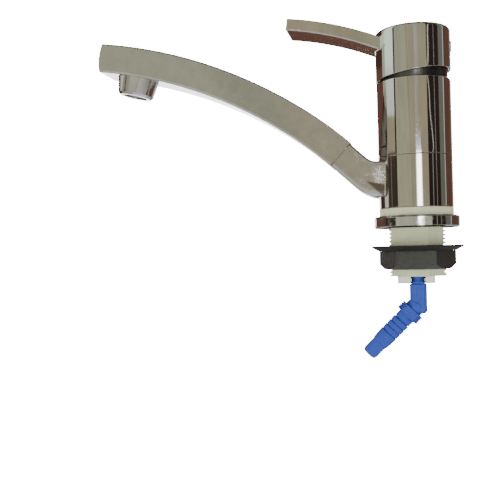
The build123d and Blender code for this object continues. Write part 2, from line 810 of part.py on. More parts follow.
# Clamp washer: the flanged ring that the nut presses against the underside of the deck
washer_top = -deck_space
washer_bore = shank_thread_radius + nut_bore_play
nut_corner = nut_flats / 2 / cos(radians(30))
with BuildPart() as clamp_washer:
    with BuildSketch(Plane.XZ):
        with BuildLine():
            Polyline(
                (washer_bore, washer_top),
                (washer_radius, washer_top),
                (washer_radius, washer_top - washer_rim),
                (nut_corner, washer_top - washer_thickness),
                (washer_bore, washer_top - washer_thickness),
                close=True,
            )
        make_face()
    revolve(axis=Axis.Z)
clamp_washer.part.label = "clamp_washer"

# Back nut: a moulded hexagon nut with a flat towards the front of the sink
nut_seat = washer_top - washer_thickness - running_play
with BuildPart() as back_nut:
    with BuildSketch(Plane.XY.offset(nut_seat)):
        RegularPolygon(nut_flats / 2, 6, major_radius=False, rotation=nut_angle)
    extrude(amount=-nut_height)
    with BuildSketch(Plane.XZ):
        with BuildLine():
            Polyline(
                (nut_corner - nut_chamfer, nut_seat - nut_height),
                (nut_corner + nut_chamfer, nut_seat - nut_height),
                (nut_corner + nut_chamfer, nut_seat - nut_height + 2 * nut_chamfer),
                close=True,
            )
        make_face()
    revolve(axis=Axis.Z, mode=Mode.SUBTRACT)
    with BuildSketch(Plane.XY.offset(nut_seat)):
        Circle(washer_bore)
    extrude(amount=-nut_height, mode=Mode.SUBTRACT)
back_nut.part.label = "back_nut"


# Inlet clip: the fork under the shank whose blades hold the elbow's grooved neck
foot = -shank_length
neck_tube_radius = port_radius - elbow_neck_play
groove_radius = neck_tube_radius - groove_depth
blade_top = foot - (clip_height - clip_blade) / 2
with BuildPart() as inlet_clip:
    for layer_top, layer_height, slot_half in (
        (foot, foot - blade_top, neck_tube_radius + working_gap),
        (blade_top, clip_blade, groove_radius + working_gap),
        (blade_top - clip_blade, foot - blade_top, neck_tube_radius + working_gap),
    ):
        with BuildSketch(Plane.XY.offset(layer_top)):
            with Locations((clip_shift, (clip_web_half - clip_prong_reach) / 2)):
                Rectangle(clip_width, clip_prong_reach + clip_web_half)
            with Locations((0, -port_offset)):
                Circle(slot_half, mode=Mode.SUBTRACT)
            with Locations((0, -port_offset - clip_prong_reach / 2)):
                Rectangle(2 * slot_half, clip_prong_reach, mode=Mode.SUBTRACT)
        extrude(amount=-layer_height)
    with BuildSketch(Plane.XY.offset(foot)):
        with Locations((clip_shift - clip_peg_spacing / 2, 0), (clip_shift + clip_peg_spacing / 2, 0)):
            Circle(clip_peg_radius)
    extrude(amount=clip_peg_length)
inlet_clip.part.label = "inlet_clip"


# Cold elbow: the blue push-in elbow that turns in the port under the clip
elbow_centre = foot - elbow_drop
groove_half = (clip_blade + 2 * working_gap) / 2
blade_middle = blade_top - clip_blade / 2
tail_step = (-cos(radians(tail_angle)), 0, -sin(radians(tail_angle)))
tail_plane = Plane(origin=(0, -port_offset, elbow_centre), x_dir=(0, 1, 0), z_dir=tail_step)
spigot_seal_outer = port_radius - running_play
spigot_seal_groove = spigot_seal_outer - spigot_seal_section - running_play
seal_groove_half = spigot_seal_section / 2 + running_play
spigot_seal_height = foot + spigot_length - 2 * spigot_seal_section
with BuildPart() as cold_elbow:
    with BuildSketch(Plane.XZ.offset(port_offset)):
        with BuildLine():
            Polyline(
                (0, foot + spigot_length),
                (neck_tube_radius, foot + spigot_length),
                (neck_tube_radius, spigot_seal_height + seal_groove_half),
                (spigot_seal_groove, spigot_seal_height + seal_groove_half),
                (spigot_seal_groove, spigot_seal_height - seal_groove_half),
                (neck_tube_radius, spigot_seal_height - seal_groove_half),
                (neck_tube_radius, blade_middle + groove_half),
                (groove_radius, blade_middle + groove_half),
                (groove_radius, blade_middle - groove_half),
                (neck_tube_radius, blade_middle - groove_half),
                (neck_tube_radius, foot - clip_height),
                (elbow_tube_radius, foot - clip_height - (elbow_tube_radius - neck_tube_radius)),
                (elbow_tube_radius, elbow_centre - elbow_sump + elbow_chamfer),
                (elbow_tube_radius - elbow_chamfer, elbow_centre - elbow_sump),
                (0, elbow_centre - elbow_sump),
                close=True,
            )
        make_face()
    revolve(axis=Axis((0, -port_offset, 0), (0, 0, 1)))
    with BuildSketch(tail_plane):
        Circle(elbow_boss_radius)
    extrude(amount=elbow_boss_reach)
    split(bisect_by=tail_plane.offset(elbow_boss_reach), keep=Keep.BOTTOM)
    with BuildSketch(Plane.XY.offset(foot + spigot_length)):
        with Locations((0, -port_offset)):
            Circle(tail_bore_radius)
    extrude(amount=-(spigot_length + elbow_drop), mode=Mode.SUBTRACT)
    with BuildSketch(tail_plane):
        Circle(tail_bore_radius)
    extrude(amount=elbow_boss_reach, mode=Mode.SUBTRACT)
    with BuildSketch(tail_plane.offset(elbow_boss_reach - tail_spigot_length - working_gap)):
        Circle(tail_spigot_radius + running_play)
    extrude(amount=tail_spigot_length + working_gap, mode=Mode.SUBTRACT)
cold_elbow.part.label = "cold_elbow"

# Elbow seal: the rubber ring on the elbow's spigot, inside the port
with BuildPart() as elbow_seal:
    with BuildSketch(Plane.XZ.offset(port_offset)):
        with Locations((spigot_seal_outer - spigot_seal_section / 2, spigot_seal_height)):
            Circle(spigot_seal_section / 2)
    revolve(axis=Axis((0, -port_offset, 0), (0, 0, 1)))
elbow_seal.part.label = "elbow_seal"


# Hose tail: the blue barbed tail that swivels on the elbow, with a flatted collar
collar_start = elbow_boss_reach + working_gap
stem_start = collar_start + tail_collar_length
barb_start = stem_start + tail_stem_length
taper_start = barb_start + barb_count * barb_pitch
end_start = taper_start + tail_taper_length
tail_end = end_start + tail_end_length
tail_seal_place = elbow_boss_reach - tail_spigot_length / 2
tail_seal_groove = tail_spigot_radius - tail_seal_section - running_play
tail_groove_half = tail_seal_section / 2 + running_play
hose_profile = [
    (tail_bore_radius, elbow_boss_reach - tail_spigot_length),
    (tail_spigot_radius, elbow_boss_reach - tail_spigot_length),
    (tail_spigot_radius, tail_seal_place - tail_groove_half),
    (tail_seal_groove, tail_seal_place - tail_groove_half),
    (tail_seal_groove, tail_seal_place + tail_groove_half),
    (tail_spigot_radius, tail_seal_place + tail_groove_half),
    (tail_spigot_radius, collar_start),
    (tail_collar_radius, collar_start),
    (tail_collar_radius, stem_start),
    (tail_stem_radius, stem_start),
    (tail_stem_radius, barb_start),
]
for barb in range(barb_count):
    hose_profile.append((barb_radius, barb_start + barb * barb_pitch))
    hose_profile.append((barb_radius - barb_depth, barb_start + (barb + 1) * barb_pitch))
hose_profile += [
    (barb_radius, taper_start),
    (barb_radius - barb_depth, end_start),
    (tail_end_radius, end_start),
    (tail_end_radius, tail_end - tail_end_round),
    (tail_end_radius - tail_end_round, tail_end),
    (tail_bore_radius, tail_end),
]
tail_side_plane = Plane(origin=tail_plane.origin, x_dir=(0, 1, 0), z_dir=tail_plane.y_dir * -1)
with BuildPart() as hose_tail:
    with BuildSketch(tail_side_plane):
        with BuildLine():
            Polyline(*hose_profile, close=True)
        make_face()
    revolve(axis=Axis(tail_plane.origin, tail_plane.z_dir))
    # Two flats on the collar
    with BuildSketch(tail_plane.offset(collar_start)):
        Circle(tail_collar_radius)
        Rectangle(tail_collar_flats, 2 * tail_collar_radius, mode=Mode.SUBTRACT)
    extrude(amount=tail_collar_length, mode=Mode.SUBTRACT)
hose_tail.part.label = "hose_tail"

# Tail seal: the rubber ring on the hose tail's spigot
with BuildPart() as tail_seal:
    with BuildSketch(tail_side_plane):
        with Locations((tail_spigot_radius - tail_seal_section / 2, tail_seal_place)):
            Circle(tail_seal_section / 2)
    revolve(axis=Axis(tail_plane.origin, tail_plane.z_dir))
tail_seal.part.label = "tail_seal"


# Every piece goes to its own file, named like its node
pieces = (
    core_body,
    base_ring,
    base_gasket,
    glide_rings,
    collar_seals,
    swivel_collar,
    spout_root,
    spout_arm,
    aerator_housing,
    aerator_washer,
    aerator_insert,
    aerator_screen,
    body_shell,
    cartridge_base,
    port_seals,
    fixed_disc,
    moving_disc,
    disc_carrier,
    cartridge_housing,
    cartridge_nut,
    dome_cover,
    spindle_carrier,
    pivot_pin,
    spindle,
    lever_handle,
    grub_screw,
    index_plug,
    clamp_washer,
    back_nut,
    inlet_clip,
    cold_elbow,
    elbow_seal,
    hose_tail,
    tail_seal,
)
os.makedirs("parts", exist_ok=True)
for piece in pieces:
    export_step(piece.part, f"parts/{piece.part.label}.step")
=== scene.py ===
"""Looks of a chromed single-lever basin tap: its pieces in the order they are assembled, then the studio."""

import bmesh
import bpy
import numpy as np
from mathutils import Matrix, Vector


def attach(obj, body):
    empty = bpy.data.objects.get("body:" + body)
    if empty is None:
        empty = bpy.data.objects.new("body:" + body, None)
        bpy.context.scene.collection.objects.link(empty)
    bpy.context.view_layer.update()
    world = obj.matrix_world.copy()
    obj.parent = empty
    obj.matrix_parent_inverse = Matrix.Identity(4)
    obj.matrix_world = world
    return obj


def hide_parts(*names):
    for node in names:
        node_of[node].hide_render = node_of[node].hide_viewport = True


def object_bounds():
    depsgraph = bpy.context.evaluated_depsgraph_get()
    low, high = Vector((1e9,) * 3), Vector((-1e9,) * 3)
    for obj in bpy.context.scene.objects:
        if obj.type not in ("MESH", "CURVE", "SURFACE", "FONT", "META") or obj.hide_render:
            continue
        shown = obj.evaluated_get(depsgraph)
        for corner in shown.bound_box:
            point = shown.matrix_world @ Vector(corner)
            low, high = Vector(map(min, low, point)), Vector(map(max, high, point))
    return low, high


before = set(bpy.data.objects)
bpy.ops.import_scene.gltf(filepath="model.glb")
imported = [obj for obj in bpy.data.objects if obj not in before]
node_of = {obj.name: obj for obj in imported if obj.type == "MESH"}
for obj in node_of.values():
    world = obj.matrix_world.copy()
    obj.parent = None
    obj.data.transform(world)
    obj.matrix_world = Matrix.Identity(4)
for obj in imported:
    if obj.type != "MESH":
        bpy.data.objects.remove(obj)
cad_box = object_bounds()


# Core body: one moulding in pale green-beige plastic, with a flange, a hollow shank and a spigot in the
# collar. The shank is octagonal and keeps its pipe thread only on the two side flats, as a two-part mould
# leaves it.
mm = 0.001
shank_foot, thread_top, thread_pitch = -28.6 * mm, 6.4 * mm, 2.309 * mm
thread_root, thread_crest, thread_half_angle = 15.2 * mm, 16.625 * mm, 24.0


def surface(name, grid, wrap_u=False, wrap_v=False, sharp=30.0):
    """Mesh through a grid of points: each cell is a face, and a wrapped side joins its last row to its
    first. Points that coincide, as at a pole, are merged, and edges bent by more than the sharp angle stay
    crisp."""
    grid = np.asarray(grid, float)
    rows, columns = grid.shape[:2]
    number = np.arange(rows * columns).reshape(rows, columns)
    if wrap_u:
        number = np.vstack([number, number[:1]])
    if wrap_v:
        number = np.hstack([number, number[:, :1]])
    faces = np.stack([number[:-1, :-1], number[:-1, 1:], number[1:, 1:], number[1:, :-1]], axis=-1)
    mesh = bpy.data.meshes.new(name)
    mesh.from_pydata(grid.reshape(-1, 3), [], faces.reshape(-1, 4))
    shape = bmesh.new()
    shape.from_mesh(mesh)
    bmesh.ops.remove_doubles(shape, verts=shape.verts, dist=1e-6)
    bmesh.ops.recalc_face_normals(shape, faces=shape.faces)
    shape.to_mesh(mesh)
    shape.free()
    mesh.shade_smooth()
    mesh.set_sharp_from_angle(angle=np.radians(sharp))
    piece = bpy.data.objects.new(name, mesh)
    bpy.context.collection.objects.link(piece)
    return piece


def thread_cutter(name, steps=72):
    """Screw-shaped tool for the grooves. At turn a, its section is at height foot + pitch a / 2 pi. Its tip
    is at the root on the two side flats, and it fades outwards past the crests over the last 4 degrees of
    each."""
    section = np.array([(0, -0.2), (0, 0.2), (1.6, 1.02), (2.4, 1.1), (2.4, -1.1), (1.6, -1.02)]) * mm
    turns = (thread_top - shank_foot) / thread_pitch
    a = np.linspace(0, 2 * np.pi * turns, int(turns * steps))[:, None]
    beside = np.degrees(np.arccos(np.clip(np.abs(np.cos(a)), 0, 1)))
    lift = (thread_crest - thread_root + 0.5 * mm) * np.clip((beside - thread_half_angle + 4) / 4, 0, 1)
    radius = thread_root + lift + section[None, :, 0]
    height = shank_foot + thread_pitch * a / (2 * np.pi) + section[None, :, 1]
    grid = np.stack([radius * np.cos(a), radius * np.sin(a), height], axis=-1)
    ends = np.repeat(grid[[0, -1]].mean(axis=1, keepdims=True), len(section), axis=1)
    return surface(name, np.concatenate([ends[:1], grid, ends[1:]]), wrap_v=True)


def carved(name, node, tool, sharp=30.0):
    """Merged copy of a CAD node, less a tool's solid."""
    piece = bpy.data.objects.new(name, node_of[node].data.copy())
    bpy.context.collection.objects.link(piece)
    if "custom_normal" in piece.data.attributes:
        piece.data.attributes.remove(piece.data.attributes["custom_normal"])
    shape = bmesh.new()
    shape.from_mesh(piece.data)
    bmesh.ops.remove_doubles(shape, verts=shape.verts, dist=1e-7)
    shape.to_mesh(piece.data)
    shape.free()
    cut = piece.modifiers.new("cut", "BOOLEAN")
    cut.operation, cut.solver, cut.object = "DIFFERENCE", "EXACT", tool
    bpy.context.view_layer.update()
    mesh = bpy.data.meshes.new_from_object(piece.evaluated_get(bpy.context.evaluated_depsgraph_get()))
    piece.modifiers.clear()
    piece.data = mesh
    bpy.data.objects.remove(tool)
    mesh.shade_smooth()
    mesh.set_sharp_from_angle(angle=np.radians(sharp))
    return piece


def add_node(tree, kind, sockets=None, **settings):
    """One shader node, with its settings, and its sockets set to values or linked to other nodes'
    outputs."""
    node = tree.nodes.new("ShaderNode" + kind)
    for key, value in settings.items():
        setattr(node, key, value)
    for key, value in (sockets or {}).items():
        if isinstance(value, bpy.types.NodeSocket):
            tree.links.new(value, node.inputs[key])
        else:
            node.inputs[key].default_value = value
    return node


def new_finish(name):
    """Empty material with one Principled shader. Returns the material, its tree, the shader and the
    coordinates of the piece."""
    material = bpy.data.materials.new(name)
    material.use_nodes = True
    tree = material.node_tree
    tree.nodes.clear()
    shader = add_node(tree, "BsdfPrincipled")
    add_node(tree, "OutputMaterial", {"Surface": shader.outputs["BSDF"]})
    return material, tree, shader, add_node(tree, "TexCoord").outputs["Object"]


def blend(tree, factor, first, second):
    """Mix of two colours, each a plain colour or another node's output."""
    ends = {"Factor": factor}
    for key, colour in (("A", first), ("B", second)):
        ends[key] = colour if isinstance(colour, bpy.types.NodeSocket) else (*colour, 1)
    return add_node(tree, "Mix", ends, data_type="RGBA")


def spread(tree, value, low, high, start=0.0, end=1.0):
    """Value whose range from low to high is spread from start to end."""
    ends = {"Value": value, "From Min": low, "From Max": high, "To Min": start, "To Max": end}
    return add_node(tree, "MapRange", ends)


def moulded(name, colour, dark, roughness=0.45, grain=1500.0, bump=0.05, clouds=90.0, edge=0.25, sheen=0.5):
    """Moulded plastic: clouded colour between two tones, patchy gloss, a fine grain from the mould, eased
    edges."""
    material, tree, shader, place = new_finish(name)
    shader.inputs["Specular IOR Level"].default_value = sheen
    cloud = add_node(tree, "TexNoise", {"Vector": place, "Scale": clouds, "Detail": 4.0, "Roughness": 0.6})
    tone = blend(tree, cloud.outputs["Fac"], dark, colour)
    gloss = spread(tree, cloud.outputs["Fac"], 0, 1, roughness - 0.1, roughness + 0.1)
    pores = add_node(tree, "TexNoise", {"Vector": place, "Scale": grain, "Detail": 3.0})
    eased = add_node(tree, "Bevel", {"Radius": edge * mm}, samples=4)
    rise = {"Strength": bump, "Distance": 0.2 * mm, "Height": pores.outputs["Fac"]}
    relief = add_node(tree, "Bump", {**rise, "Normal": eased.outputs["Normal"]})
    tree.links.new(tone.outputs["Result"], shader.inputs["Base Color"])
    tree.links.new(gloss.outputs["Result"], shader.inputs["Roughness"])
    tree.links.new(relief.outputs["Normal"], shader.inputs["Normal"])
    return material


def stands_for(piece, node, body, material):
    """Puts a new piece in a CAD node's place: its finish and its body."""
    piece.data.materials.clear()
    piece.data.materials.append(material)
    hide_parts(node)
    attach(piece, body)


def dress(material, *nodes):
    """Gives CAD nodes a finish."""
    for name in nodes:
        node_of[name].data.materials.clear()
        node_of[name].data.materials.append(material)


core_pale, core_dark = (0.56, 0.585, 0.365), (0.46, 0.49, 0.31)
core_plastic = moulded("core_plastic", core_pale, core_dark, roughness=0.38, bump=0.08)
core_piece = carved("threaded_core", "core_body", thread_cutter("thread_tool"))
stands_for(core_piece, "core_body", "tap_body", core_plastic)


# Base ring and gasket: a turned brass ring, chromed, that lies loose on the shank. Its edges are chamfered
# and polished round, and a black rubber ring is pressed into its groove.
# The third colour is a painted reflection of the brown room, put into the spout root's plate.
chrome, dull_chrome, painted_reflection_brown = (0.66, 0.65, 0.63), (0.80, 0.82, 0.80), (0.22, 0.185, 0.165)
upright, even = (1.0, 1.0, 0.15), (1.0, 1.0, 1.0)


def join(tree, operation, *values):
    """Sum or product of two or three values."""
    return add_node(tree, "Math", dict(enumerate(values)), operation=operation)


def chrome_plate(
    name, tint=chrome, gloss=0.045, ripple=0.02, marks=0.5, stretch=upright, edge=0.35, smear=0.5, braze_and_painted_reflection=False
):
    """Bright chrome plate: a mirror with slight ripples, dried water marks, wipe marks and darker smears
    drawn out by the stretch, and edges eased by the polishing. A brazed piece is dull, with pale specks,
    and where its attributes say so its colour is painted brown as a painted reflection of the brown room."""
    material, tree, shader, place = new_finish(name)
    shader.inputs["Metallic"].default_value = 1.0
    pulled = add_node(tree, "Mapping", {"Vector": place, "Scale": stretch})
    drawn = pulled.outputs["Vector"]
    wipes = add_node(tree, "TexNoise", {"Vector": drawn, "Scale": 420.0, "Detail": 5.0, "Roughness": 0.7})
    spots = add_node(tree, "TexNoise", {"Vector": place, "Scale": 160.0, "Detail": 6.0, "Roughness": 0.65})
    patches = spread(tree, spots.outputs["Fac"], 0.54, 0.72, 0.0, 0.30 * marks)
    streaks = spread(tree, wipes.outputs["Fac"], 0.5, 0.8, gloss, gloss + 0.12 * marks)
    haze = join(tree, "ADD", patches.outputs["Result"], streaks.outputs["Result"])
    smears = add_node(tree, "TexNoise", {"Vector": drawn, "Scale": 140.0, "Detail": 6.0, "Roughness": 0.6})
    thin = spread(tree, smears.outputs["Fac"], 0.42, 0.62)
    worn = [value * (1 - 0.16 * smear) for value in tint]
    tone = blend(tree, thin.outputs["Result"], tint, worn)
    # A brazed piece gets real dull specks, and a painted brown reflection where its attribute says so.
    if braze_and_painted_reflection:
        fine = add_node(tree, "TexNoise", {"Vector": place, "Scale": 1300.0, "Detail": 4.0, "Roughness": 0.7})
        dull = add_node(tree, "Attribute", attribute_name="dull")
        dots = spread(tree, fine.outputs["Fac"], 0.42, 0.62)
        rough = join(tree, "MULTIPLY", dull.outputs["Fac"], dots.outputs["Result"])
        haze = join(tree, "MULTIPLY_ADD", rough.outputs["Value"], 0.45, haze.outputs["Value"])
        specks = spread(tree, rough.outputs["Value"], 0.1, 0.9)
        pale = blend(tree, specks.outputs["Result"], tone.outputs["Result"], dull_chrome)
        # Painted reflection: brown is painted into the colour where the attribute is set.
        painted_reflection = add_node(tree, "Attribute", attribute_name="painted_reflection")
        tone = blend(tree, painted_reflection.outputs["Fac"], pale.outputs["Result"], painted_reflection_brown)
    waves = add_node(tree, "TexNoise", {"Vector": drawn, "Scale": 60.0, "Detail": 2.0})
    eased = add_node(tree, "Bevel", {"Radius": edge * mm}, samples=6)
    rise = {"Strength": ripple, "Distance": mm, "Height": waves.outputs["Fac"]}
    relief = add_node(tree, "Bump", {**rise, "Normal": eased.outputs["Normal"]})
    tree.links.new(tone.outputs["Result"], shader.inputs["Base Color"])
    tree.links.new(haze.outputs["Value"], shader.inputs["Roughness"])
    tree.links.new(relief.outputs["Normal"], shader.inputs["Normal"])
    return material


chrome_ring = chrome_plate("chrome_ring", marks=1.6, smear=1.0)
dress(chrome_ring, "base_ring")
seal_black, seal_dark = (0.045, 0.045, 0.045), (0.02, 0.02, 0.02)
seal_rubber = moulded("seal_rubber", seal_black, seal_dark, roughness=0.6, grain=2600.0, bump=0.1)
dress(seal_rubber, "base_gasket", "collar_seals", "port_seals", "aerator_washer", "elbow_seal", "tail_seal")


# Glide rings: two rings moulded in white bearing plastic. They sit between the core and the collar, which
# turns on them.
bearing_pale, bearing_dark = (0.82, 0.82, 0.79), (0.74, 0.74, 0.71)
bearing_plastic = moulded("bearing_plastic", bearing_pale, bearing_dark, roughness=0.35)
dress(bearing_plastic, "glide_rings")


# Swivel collar and body shell: two chromed brass sleeves, drawn and turned, one above the other with a fine
# joint between them. The collar turns with the spout, and the shell stays.
body_tint = (0.68, 0.65, 0.59)
chrome_body = chrome_plate("chrome_body", body_tint, marks=0.2, smear=1.0)
dress(chrome_body, "swivel_collar", "body_shell")


# Spout: a cast root, brazed to the collar, and a hollow rolled arm, polished and chromed together. The
# root's sides are flat from the seam to the collar. Near the braze its plate is dull, and below that a brown
# triangle is painted into its colour as a painted reflection of the brown room.
collar_radius, braze_depth, end_depth = 21.75, 0.3, 1.2
root_half_width, root_half_height, root_corner = 13.6, 9.0, 2.4
neck_start, neck_length, neck_narrowing = -26.0, 8.0, 0.006
root_upper = [(-37.2, 50.9, 0), (-25.7, 40.1, 3.5), (-15.9, 40.0, 0)]
root_lower = [(-49.1, 38.1, 0), (-28.6, 18.9, 9.0), (-15.9, 18.7, 0)]
seam_heading, tongue_length, tongue_scale = np.array([-0.731, 0, 0.682]), 8.0, (0.86, 0.78)
dull_centre, dull_size = (-20.4, 31.0), (3.2, 4.8)
# Apex, slope, length, end, height and edges of the brown triangle of painted reflection under the dull spot.
reflection_apex, reflection_slope, reflection_length, reflection_end = (-29.0, 28.6), 0.2, 9.5, -17.8
reflection_height, reflection_top_edge, reflection_foot_edge = 7.2, 0.6, 1.4


def rounded(corners, steps=5):
    """Outline with its corners eased: each corner (a, b, r) becomes a parabola between the points r before
    and after it, (1-t)^2 A + 2t(1-t) P + t^2 C. The outline closes on itself."""
    corners = np.asarray(corners, float)
    point, ease = corners[:, :2], corners[:, 2:]
    before, after = np.roll(point, 1, axis=0) - point, np.roll(point, -1, axis=0) - point
    start = point + ease * before / np.maximum(np.linalg.norm(before, axis=1, keepdims=True), 1e-9)
    end = point + ease * after / np.maximum(np.linalg.norm(after, axis=1, keepdims=True), 1e-9)
    t = np.linspace(0, 1, steps)[None, :, None]
    curve = (1 - t) ** 2 * start[:, None] + 2 * t * (1 - t) * point[:, None] + t**2 * end[:, None]
    return curve.reshape(-1, 2)


def spaced(points, count, closed=False):
    """The same line with its points at equal steps along it."""
    points = np.vstack([points, points[:1]]) if closed else np.asarray(points)
    along = np.concatenate([[0], np.cumsum(np.linalg.norm(np.diff(points, axis=0), axis=1))])
    place = np.linspace(0, along[-1], count + 1)[:-1] if closed else np.linspace(0, along[-1], count)
    return np.stack([np.interp(place, along, points[:, k]) for k in range(points.shape[1])], axis=1)


def cast_root(name, rows=64, columns=132):
    """Tongue in the arm, then the root from the seam to the collar. Row s joins the upper and lower
    outlines at the same share of their lengths: middle + up q + (0, p, 0) for a point (p, q) of the rounded
    section. It narrows a little beside the collar, and nothing passes the collar's curve, which is
    x = depth - sqrt(R^2 - y^2). The dull spot is a bell curve, and the painted reflection is a brown
    triangle that widens from its apex."""
    upper, lower = (spaced(rounded(line, 9), rows)[:, None] for line in (root_upper, root_lower))
    w, h, r = root_half_width, root_half_height, root_corner
    section = spaced(rounded([(-w, -h, r), (w, -h, r), (w, h, r), (-w, h, r)], 7), columns, closed=True)[None]
    line = (upper + lower) / 2 + (upper - lower) / 2 * section[:, :, 1:] / h
    near = np.clip((line[:, :, 0] - neck_start) / neck_length, 0, 1)
    y = section[:, :, 0] * (1 - neck_narrowing * near**2 * (3 - 2 * near))
    x = np.minimum(line[:, :, 0], braze_depth - np.sqrt(collar_radius**2 - y**2))
    grid = np.stack([x, y, line[:, :, 1]], axis=-1)
    ends = np.repeat(grid[[0, -1]].mean(axis=1, keepdims=True), columns, axis=1)
    across, up = (grid[:1] - ends[:1]) * (0, 1, 0), (grid[:1] - ends[:1]) * (1, 0, 1)
    tongue = ends[:1] + tongue_scale[0] * across + tongue_scale[1] * up
    reach = tongue_length * seam_heading
    ends[1, :, 0] = end_depth - collar_radius
    parts = [ends[:1] + reach, tongue + reach, tongue, grid, ends[1:]]
    piece = surface(name, np.concatenate(parts) * mm, wrap_v=True)
    place = np.empty(3 * len(piece.data.vertices))
    piece.data.vertices.foreach_get("co", place)
    x, _, z = place.reshape(-1, 3).T / mm
    dull = np.exp(-(((x - dull_centre[0]) / dull_size[0]) ** 2) - ((z - dull_centre[1]) / dull_size[1]) ** 2)
    # Brown triangle of painted reflection, below the dull spot.
    across = np.clip((x - reflection_apex[0]) / reflection_length, 0, 1.2)
    down = reflection_apex[1] - reflection_slope * (x - reflection_apex[0]) - z
    top, foot = down / reflection_top_edge, (reflection_height * across - down) / reflection_foot_edge + 0.4
    painted_reflection = np.clip(across * 5, 0, 1) * np.clip(top, 0, 1) * np.clip(foot, 0, 1) * (x < reflection_end)
    for key, value in (("dull", dull * (1 - painted_reflection)), ("painted_reflection", painted_reflection)):
        piece.data.attributes.new(key, "FLOAT", "POINT").data.foreach_set("value", value)
    return piece


chrome_spout = chrome_plate("chrome_spout", gloss=0.09, ripple=0.03, stretch=even, edge=0.2)
dress(chrome_spout, "spout_arm")
chrome_root = chrome_plate("chrome_root", gloss=0.09, ripple=0.03, stretch=even, braze_and_painted_reflection=True)
stands_for(cast_root("cast_root"), "spout_root", "spout", chrome_root)


# Aerator: a turned and chromed cup screwed up into the arm. It holds a moulded plastic flow plate and, at
# its mouth, a steel screen.
chrome_aerator = chrome_plate("chrome_aerator", ripple=0.12, marks=1.0, smear=1.5, edge=0.5)
dress(chrome_aerator, "aerator_housing")
insert_pale, insert_dark = (0.72, 0.73, 0.73), (0.62, 0.63, 0.63)
insert_plastic = moulded("insert_plastic", insert_pale, insert_dark, roughness=0.4)
dress(insert_plastic, "aerator_insert")


def bare_metal(name, colour, roughness=0.3, lines=900.0):
    """Machined bare metal: tool marks in rings up the upright axis, with tone and gloss that change a
    little."""
    material, tree, shader, place = new_finish(name)
    shader.inputs["Metallic"].default_value = 1.0
    cloud = add_node(tree, "TexNoise", {"Vector": place, "Scale": 150.0, "Detail": 4.0})
    worn = [0.75 * value for value in colour]
    tone = blend(tree, cloud.outputs["Fac"], worn, colour)
    gloss = spread(tree, cloud.outputs["Fac"], 0, 1, roughness - 0.08, roughness + 0.08)
    flat = add_node(tree, "Mapping", {"Vector": place, "Scale": (0.03, 0.03, 1.0)})
    marks = add_node(tree, "TexNoise", {"Vector": flat.outputs["Vector"], "Scale": lines, "Detail": 2.0})
    relief = add_node(tree, "Bump", {"Strength": 0.12, "Distance": 0.2 * mm, "Height": marks.outputs["Fac"]})
    tree.links.new(tone.outputs["Result"], shader.inputs["Base Color"])
    tree.links.new(gloss.outputs["Result"], shader.inputs["Roughness"])
    tree.links.new(relief.outputs["Normal"], shader.inputs["Normal"])
    return material


screen_steel = bare_metal("screen_steel", (0.60, 0.60, 0.58))
dress(screen_steel, "aerator_screen")


# Cartridge: base, housing, turret and disc carrier moulded in off-white plastic, round two lapped ceramic
# discs. A brass ring nut holds it down in the shell, and a steel spindle rocks on a pin in the turret.
cartridge_pale, cartridge_dark = (0.78, 0.78, 0.74), (0.70, 0.70, 0.66)
cartridge_plastic = moulded("cartridge_plastic", cartridge_pale, cartridge_dark, roughness=0.42)
dress(cartridge_plastic, "cartridge_base", "cartridge_housing", "spindle_carrier", "disc_carrier")
ceramic_pale, ceramic_dark = (0.88, 0.87, 0.84), (0.83, 0.82, 0.78)
disc_ceramic = moulded("disc_ceramic", ceramic_pale, ceramic_dark, roughness=0.2, bump=0.02)
dress(disc_ceramic, "fixed_disc", "moving_disc")
nut_brass = bare_metal("nut_brass", (0.78, 0.60, 0.30))
dress(nut_brass, "cartridge_nut")
pin_steel = bare_metal("pin_steel", (0.58, 0.58, 0.58))
dress(pin_steel, "pivot_pin", "spindle", "grub_screw")


# Dome cover: a spun and chromed ring that closes the slanted gap under the cap. Its plate is duller than the
# other chrome, and its colour is painted darker as painted shade for the gap.
dome_painted_shade = (0.13, 0.125, 0.12)
chrome_dome = chrome_plate("chrome_dome", dome_painted_shade, gloss=0.30, ripple=0.2, smear=2.0)
dress(chrome_dome, "dome_cover")


# Lever: cap and arm, cast in one piece of zinc alloy, polished and chromed. A plain grey plug is pressed
# into the screw's hole at the back.
lever_tint = (0.68, 0.66, 0.61)
chrome_lever = chrome_plate("chrome_lever", lever_tint, gloss=0.06, marks=0.15, smear=0.9, edge=0.55)
dress(chrome_lever, "lever_handle")
plug_pale, plug_dark = (0.60, 0.60, 0.60), (0.52, 0.52, 0.52)
plug_plastic = moulded("plug_plastic", plug_pale, plug_dark, roughness=0.3)
dress(plug_plastic, "index_plug")


# Clamp washer and back nut: both moulded in black plastic. The nut turns on the shank's thread and presses
# the washer up. The washer is matt, and the nut's flats have a little gloss.
nut_black, nut_dark = (0.020, 0.023, 0.020), (0.012, 0.013, 0.011)
nut_plastic = moulded("nut_plastic", nut_black, nut_dark, roughness=0.38, bump=0.2, edge=0.12, sheen=0.75)
dress(nut_plastic, "back_nut")
washer_black, washer_dark = (0.016, 0.017, 0.015), (0.010, 0.010, 0.009)
washer_plastic = moulded("washer_plastic", washer_black, washer_dark, roughness=0.5, bump=0.2, sheen=0.2)
dress(washer_plastic, "clamp_washer")


# Inlet clip: a fork moulded in ivory plastic and pegged under the shank. Its two blades hold the elbow's
# grooved neck in the port.
clip_ivory, clip_dark = (0.74, 0.75, 0.66), (0.66, 0.67, 0.58)
clip_plastic = moulded("clip_plastic", clip_ivory, clip_dark, roughness=0.4)
dress(clip_plastic, "inlet_clip")


